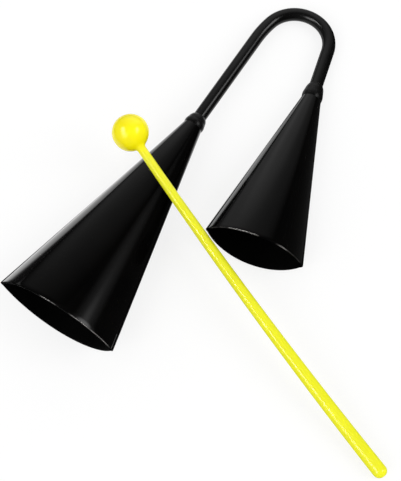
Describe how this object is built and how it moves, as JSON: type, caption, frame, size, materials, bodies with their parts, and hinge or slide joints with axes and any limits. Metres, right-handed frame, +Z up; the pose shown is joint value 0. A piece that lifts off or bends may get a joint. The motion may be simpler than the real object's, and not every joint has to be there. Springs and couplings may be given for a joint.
{
  "type": "agogo bell with mallet",
  "caption": "Pair of conical black steel bells with lens-shaped mouths welded to a U-bent rod handle, lying flat with a ball-headed plastic mallet resting across the larger bell.",
  "frame": {"origin": "on the floor, under the middle of the bounding box of everything", "axes": "+Z up from the floor the instrument lies on; +Y along the long leg of the handle seen from above, from the large bell's mouth towards the bend; +X from the large bell to the small bell"},
  "size_m": [0.2334, 0.2478, 0.0479],
  "materials": {
    "bell_black": "gloss black enamel on sheet steel",
    "rod_black": "satin black enamel on steel rod",
    "weld_black": "satin black enamel over a smoothed weld",
    "mallet_yellow": "glossy yellow moulded plastic"
  },
  "bodies": {
    "instrument": {"handle_rod": "rod_black", "large_bell_front_shell": "bell_black", "large_bell_back_shell": "bell_black", "large_bell_outer_seam": "bell_black", "large_bell_inner_seam": "bell_black", "large_bell_neck_weld": "weld_black", "small_bell_front_shell": "bell_black", "small_bell_back_shell": "bell_black", "small_bell_outer_seam": "bell_black", "small_bell_inner_seam": "bell_black", "small_bell_neck_weld": "weld_black"},
    "mallet": {"mallet": "mallet_yellow"}
  },
  "joints": [
    {"name": "mallet_lift", "type": "slide", "parent": "instrument", "child": "mallet", "axis": [0, 0, 1], "range_m": [0, 0.1]}
  ]
}
